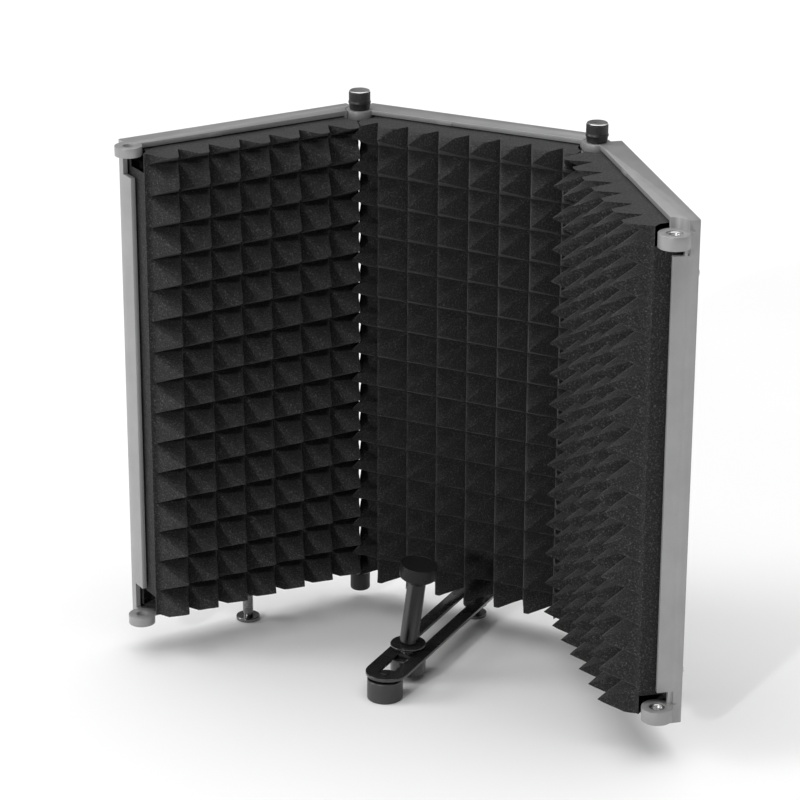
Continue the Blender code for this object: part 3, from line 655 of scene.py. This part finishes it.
def perforated_plate():
    """The back plate in the panel's axes: staggered holes inside a plain border."""
    low = Vector((PLATE_EDGES[0], 0.0, PLATE_HEIGHTS[0]))
    high = Vector((PLATE_EDGES[1], 0.0, PLATE_HEIGHTS[1]))
    middle = (low + high) / 2
    row_pitch = HOLE_PITCH * math.sqrt(0.75)
    rows = int((high.z - low.z - 2 * PLATE_MARGIN) / row_pitch)
    columns = int((high.x - low.x - 2 * PLATE_MARGIN) / HOLE_PITCH)
    bm = bmesh.new()
    for row in range(rows):
        odd = row % 2
        for column in range(columns - odd):
            x = middle.x + (column - (columns - 1 - odd) / 2) * HOLE_PITCH
            hole_cell(bm, x, middle.z + (row - (rows - 1) / 2) * row_pitch)
    bmesh.ops.remove_doubles(bm, verts=bm.verts, dist=1e-6)
    rim = [edge for edge in bm.edges if edge.is_boundary and not round_a_hole(edge)]
    places = ((low.x, low.z), (high.x, low.z), (high.x, high.z), (low.x, high.z))
    corners = [bm.verts.new((x, 0.0, z)) for x, z in places]
    rim += [bm.edges.new((corners[index], corners[(index + 1) % 4])) for index in range(4)]
    bmesh.ops.triangle_fill(bm, use_beauty=True, edges=rim, normal=(0.0, 1.0, 0.0))
    bmesh.ops.translate(bm, verts=bm.verts, vec=(0.0, PLATE_DEPTHS[0], 0.0))
    grown = bmesh.ops.extrude_face_region(bm, geom=bm.faces[:])["geom"]
    moved = [item for item in grown if isinstance(item, bmesh.types.BMVert)]
    bmesh.ops.translate(bm, verts=moved, vec=(0.0, PLATE_DEPTHS[1] - PLATE_DEPTHS[0], 0.0))
    return bm


def round_a_hole(edge):
    """Whether a boundary edge belongs to a hole's rim, whose edges are shorter than a cell's."""
    return edge.calc_length() < 1.05 * 2 * HOLE_R * math.sin(math.pi / HOLE_SIDES)


def build_back_plates():
    for side in SIDES:
        node = side + "_back_plate"
        bm = perforated_plate()
        bmesh.ops.transform(bm, matrix=PANELS[side], verts=bm.verts)
        add_piece(side + "_perforated_plate", bm, node)


def cross_recess(depth, reach, half_width):
    """Cutter of a screwdriver cross, centred on Z and reaching down from height zero."""
    bm = bmesh.new()
    for along, across in ((reach, half_width), (half_width, reach)):
        matrix = Matrix.Diagonal((2 * along, 2 * across, 2 * depth, 1.0))
        bmesh.ops.create_cube(bm, size=1.0, matrix=matrix)
    return bm


def build_plate_screws():
    """Pan-head screws with a cross recess, whose axes run back through the frame's lip."""
    corners = [(0.0, -2.75), (0.7, -2.75), (1.15, -2.3), (1.2, 0.32), (2.75, 0.32), (2.75, 0.7)]
    corners += [(2.55, 1.25), (2.0, 1.68), (1.1, 1.88), (0.0, 1.9)]
    profile = in_mm(corners)
    backwards = Matrix.Rotation(-math.pi / 2, 4, "X")
    for side in SIDES:
        columns = (SCREW_INSET, PANEL_PITCH - SCREW_INSET)
        places = [Vector((u, FRAME_BACK, z)) for u in columns for z in SCREW_HEIGHTS]
        for number, spot in enumerate(places, 1):
            recess = cross_recess(0.9 * MM, 1.35 * MM, 0.32 * MM)
            bmesh.ops.translate(recess, verts=recess.verts, vec=(0.0, 0.0, 1.95 * MM))
            bm = cut(turned(profile, Matrix.Identity(4), 40), [recess])
            place = PANELS[side] @ Matrix.Translation(spot) @ backwards
            bmesh.ops.transform(bm, matrix=place, verts=bm.verts)
            add_piece(f"{side}_panel_screw_{number}", bm, f"{side}_plate_screw_{number}")


def build_inserts():
    """Pressed-in bushes with an internal thread and chamfered ends."""
    for side in SIDES:
        for level in ("upper", "lower"):
            node = f"{side}_{level}_insert"
            length = height_of(node)
            mouth, chamfer = BUSH_BORE_R + 0.4 * MM, 0.2 * MM
            profile = [(mouth, 0.0), (BUSH_R - chamfer, 0.0), (BUSH_R, chamfer)]
            profile += [(BUSH_R, length - chamfer), (BUSH_R - chamfer, length), (mouth, length)]
            profile += wall(BUSH_BORE_R, length - 0.35 * MM, 0.35 * MM, 0.12 * MM)
            ends = (0.4 * MM, length - 0.4 * MM)
            groove = thread(BUSH_BORE_R, -0.22 * MM, HINGE_PITCH, *ends)
            bm = turned(profile, upright(node), 48, groove)
            add_piece(f"{side}_{level}_bush", bm, node)


# Hinge knobs and feet


def build_upper_knob(hinge):
    """A grip with a ridge round it and straight teeth above, on a screw with a bright cap."""
    grip = hinge + "_upper_grip"
    top = height_of(grip)
    ridge = top * 0.4
    corners = in_mm([(3.4, 0.0), (6.5, 0.0)])
    corners += [(6.9 * MM, ridge - 1.6 * MM), (7.45 * MM, ridge)]
    corners += [(UPPER_GRIP_R, ridge + MM), (UPPER_GRIP_R, top), (3.4 * MM, top)]
    profile = with_wall_ends(rounded(corners, 0.35 * MM), 0.5 * MM)
    teeth = knurl(UPPER_GRIP_R, KNURL_DEPTH, 44, ridge + 0.9 * MM, top)
    add_piece(grip + "_knurled", turned(profile, upright(grip), 264, teeth), grip, 50.0)
    build_hinge_screw(hinge + "_upper_screw", cap=True)


def build_hinge_screw(node, cap):
    """A threaded shank, with a turned metal disc on its top end for an upper knob."""
    length = height_of(node)
    if cap:
        disc = length - 0.8 * MM
        profile = [(0.0, 0.0), (SHANK_TIP_R, 0.0)]
        profile += wall(SHANK_R, 0.6 * MM, disc - 11.5 * MM, 0.12 * MM)
        rim = [(3.1, 0.0), (6.55, 0.0), (6.6, 0.1), (6.6, 0.5), (6.3, 0.75), (6.0, 0.8)]
        rim += [(0.9, 0.74), (0.0, 0.74)]
        profile += [(radius, disc + height) for radius, height in in_mm(rim)]
        ends = (0.7 * MM, disc - 11.6 * MM)
    else:
        profile = [(0.0, 0.0), (SHANK_R, 0.0)]
        profile += wall(SHANK_R, length - 14.0 * MM, length - 0.6 * MM, 0.12 * MM)
        profile += [(SHANK_TIP_R, length), (0.0, length)]
        ends = (length - 13.8 * MM, length - 0.7 * MM)
    groove = thread(SHANK_R, 0.3 * MM, HINGE_PITCH, *ends)
    add_piece(node + "_threaded", turned(profile, upright(node), 64, groove), node, 40.0)


def build_lower_knob(hinge):
    """A plain round grip with straight teeth, closed below, on a screw that points up."""
    grip = hinge + "_lower_grip"
    top = height_of(grip)
    corners = [(0.0, 0.0), (LOWER_GRIP_R, 0.0), (LOWER_GRIP_R, top), (3.4 * MM, top)]
    corners += in_mm([(3.4, 3.5, "sharp"), (0.0, 3.5)])
    profile = with_wall_ends(rounded(corners, 1.6 * MM, 5), 0.7 * MM)
    teeth = knurl(LOWER_GRIP_R, KNURL_DEPTH, 42, 1.8 * MM, top - 1.2 * MM)
    add_piece(grip + "_knurled", turned(profile, upright(grip), 252, teeth), grip, 50.0)
    build_hinge_screw(hinge + "_lower_screw", cap=False)


def build_hinge_knobs():
    for hinge in ("left_hinge", "right_hinge"):
        build_upper_knob(hinge)
        build_lower_knob(hinge)


def build_feet():
    """Screw feet: a rounded disc under a threaded post."""
    for side in SIDES:
        node = side + "_foot"
        length = height_of(node)
        corners = [(0.0, 0.0), (FOOT_R, 0.0), (FOOT_R, FOOT_DISC)]
        corners += [(FOOT_POST_R, FOOT_DISC, "sharp"), (FOOT_POST_R, FOOT_DISC + MM)]
        profile = rounded(corners, 0.9 * MM, 5)
        profile += wall(FOOT_POST_R, FOOT_THREAD_START, length - 0.5 * MM, 0.14 * MM)
        profile += [(FOOT_POST_R - 0.5 * MM, length), (0.0, length)]
        ends = (FOOT_THREAD_START + 0.1 * MM, length - 0.5 * MM)
        groove = thread(FOOT_POST_R, 0.32 * MM, FOOT_PITCH, *ends)
        add_piece(node + "_turned", turned(profile, upright(node), 72, groove), node, 40.0)


# Arm, clamp, microphone post and stand adapter


def build_cad_shapes():
    """Plates and blocks whose CAD shape is right and only needs its edges rounded."""
    for node, width in (("slotted_arm", 0.4 * MM), ("slot_guide", 0.25 * MM)):
        bm = cad_copy(node)
        soften(bm, width, 3)
        add_piece(node + "_edged", bm, node)


def build_turned(node, corners, radius=0.4, segments=96, shape=None, place=None):
    """A turned piece from (radius, height) corners in millimetres, with its corners rounded."""
    profile = rounded(in_mm(corners), radius * MM, 4)
    bm = turned(profile, place or upright(node), segments, shape)
    return add_piece(node + "_turned", bm, node, 40.0)


def build_arm_clamp():
    """The spacer, washer and nut that hold the arm on the centre foot's post."""
    build_turned("arm_spacer", ((3.8, 0), (7, 0), (7, 4.2), (3.8, 4.2)))
    build_turned("arm_clamp_washer", ((3.8, 0), (8.5, 0), (8.5, 0.8), (3.8, 0.8)), 0.2)
    grip = knurl(8 * MM, 0.2 * MM, 40, 0.6 * MM, 5.4 * MM)
    corners = ((3.8, 0), (8, 0), (8, 1.4), (8, 4.6), (8, 6), (3.8, 6))
    build_turned("arm_clamp_nut", corners, 0.6, 240, grip)


def build_carriage():
    """The nut, threaded stud with its ball cup, and cover disc under the microphone post."""
    corners = ((3.1, 0), (11.5, 0), (11.5, 11.3), (3.1, 11.3))
    build_turned("carriage_nut", corners, 1.1, 128)
    stud = [(0.0, 0.0), (2.3 * MM, 0.0)] + wall(2.8 * MM, 0.5 * MM, 9.9 * MM, 0.12 * MM)
    cup = [(2.8, 10.5), (5.6, 10.5), (5.75, 10.65), (5.75, 15.1)]
    cup += [(3.1, 15.1), (3.1, 11.4), (2.4, 11), (0, 11)]
    groove = thread(2.8 * MM, 0.3 * MM, 0.8 * MM, 0.6 * MM, 9.8 * MM)
    bm = turned(stud + in_mm(cup), upright("swivel_stud"), 64, groove)
    add_piece("swivel_stud_threaded", bm, "swivel_stud", 40.0)
    corners = ((2.7, 0), (11.5, 0), (11.5, 1.2), (2.7, 1.2))
    build_turned("socket_cap", corners, 0.35, 128)


def build_microphone_post():
    """The leaning post with its ball and spigot, and the head screwed onto it."""
    pivot = Vector(JOINTS["mic_post_tilt"]["pos_m"])
    lean = UP.rotation_difference(Vector(JOINTS["mic_head_turn"]["axis"]))
    place = Matrix.Translation(pivot) @ lean.to_matrix().to_4x4()
    ball = 2.8 * MM
    angles = [math.radians(-90 + step * 115 / 12) for step in range(13)]
    profile = [(ball * math.cos(angle), ball * math.sin(angle)) for angle in angles]
    profile[0] = (0.0, -ball)
    column = [(2, 2.02), (2, 3.9), (5.4, 3.9), (6, 4.5), (6, 47.2), (5.5, 47.7)]
    column += [(4, 47.7), (4, 56), (0, 56)]
    profile += rounded(in_mm(column), 0.3 * MM)
    post = add_piece("mic_post_turned", turned(profile, place, 96), "mic_post", 40.0)
    # The post's lacquer has painted highlights: lighter bands of base colour along it.
    post.data.materials[0] = lacquer_with_painted_streaks("post_lacquer_painted_highlights", 0.006, 0.065, 0.16, lean.to_euler())
    corners = ((0, 56.3), (4.3, 56.3, "sharp"), (4.3, 48, "sharp"), (7.2, 48))
    corners += ((12, 51.6), (12, 60.5), (11.1, 60.5), (10.9, 60.3), (0, 60.3))
    head = build_turned("mic_post_cap", corners, 0.7, 128, place=place)
    head.data.materials[0] = painted(
        "head_lacquer", 0.007, 0.012, 0.30, 0.0, 0.03 * MM, Specular_IOR_Level=0.2
    )


def build_stand_adapter():
    """The knob that screws onto a stand, with a matt side and bottom and a glossy top, and its
    stud.
    """
    outside = [(5.1, 0), (11.5, 0), (11.5, 2), (11.5, 12.2), (11.5, 14), (3.3, 14)]
    profile = in_mm([(4.6, 0.5), (5.1, 0.0)]) + rounded(in_mm(outside), 0.9 * MM, 4)[1:]
    profile += in_mm([(3.3, 10.5), (4.6, 10.5)])
    profile += wall(4.6 * MM, 10.3 * MM, 0.7 * MM, 0.15 * MM)
    groove = thread(4.6 * MM, -0.35 * MM, 0.94 * MM, 0.7 * MM, 10.2 * MM)
    bm = turned(profile, upright("stand_knob"), 192, groove)
    for face in bm.faces:
        face.material_index = int(face.calc_center_median().z > 12.9 * MM)
    add_piece("stand_knob_turned", bm, "stand_knob", 40.0, MATERIALS["arm_black"])
    corners = ((0, 0), (3, 0), (3, 3.5), (4.8, 3.5), (4.8, 4.4), (3, 4.4), (3, 6.9), (0, 6.9))
    build_turned("stand_stud", corners, 0.25, 64)


# Studio


def stage_floor():
    mesh = bpy.data.meshes.new("floor")
    bm = bmesh.new()
    bmesh.ops.create_grid(bm, x_segments=1, y_segments=1, size=14.0)
    bm.to_mesh(mesh)
    bm.free()
    floor = bpy.data.objects.new("floor", mesh)
    bpy.context.scene.collection.objects.link(floor)
    material, tree, shader = new_material("pale_floor", 0.9, 0.0)
    cloud = texture(tree, "ShaderNodeTexNoise", 3.0, Detail=3.0)
    colour = ramp(tree, cloud.outputs["Fac"], ((0.3, 0.87), (0.7, 0.89)))
    tree.links.new(colour, shader.inputs["Base Color"])
    mesh.materials.append(material)


def sun(name, toward, strength, angle):
    """A soft distant light; toward points from the object to the light."""
    data = bpy.data.lights.new(name, "SUN")
    data.energy = strength
    data.angle = math.radians(angle)
    light = bpy.data.objects.new(name, data)
    light.rotation_euler = Vector(toward).to_track_quat("Z", "Y").to_euler()
    bpy.context.scene.collection.objects.link(light)


def add_lights():
    world = bpy.data.worlds.new("studio")
    bpy.context.scene.world = world
    world.use_nodes = True
    background = world.node_tree.nodes["Background"]
    background.inputs["Color"].default_value = (1.0, 1.0, 1.0, 1.0)
    background.inputs["Strength"].default_value = 0.13
    sun("key", (-0.80, -0.42, 0.38), 1.2, 24.0)
    sun("front", (-0.09, -0.91, 0.34), 0.95, 3.0)
    sun("overhead", (-0.05, 0.10, 1.0), 2.7, 80.0)
    bpy.context.scene.view_settings.view_transform = "Standard"


def add_camera():
    data = bpy.data.cameras.new("camera")
    data.lens = CAMERA_LENS
    data.sensor_width = 36.0
    data.clip_end = 60.0
    camera = bpy.data.objects.new("camera", data)
    turn = Matrix.Rotation(CAMERA_YAW, 4, "Z") @ Matrix.Rotation(CAMERA_PITCH, 4, "X")
    roll = Matrix.Rotation(CAMERA_ROLL, 4, "Z")
    camera.matrix_world = Matrix.Translation(CAMERA_PLACE) @ turn @ roll
    bpy.context.scene.collection.objects.link(camera)
    bpy.context.scene.camera = camera


add_camera()
add_lights()
stage_floor()
build_frames()
build_foam()
build_back_plates()
build_plate_screws()
build_inserts()
build_hinge_knobs()
build_feet()
build_cad_shapes()
build_arm_clamp()
build_carriage()
build_microphone_post()
build_stand_adapter()
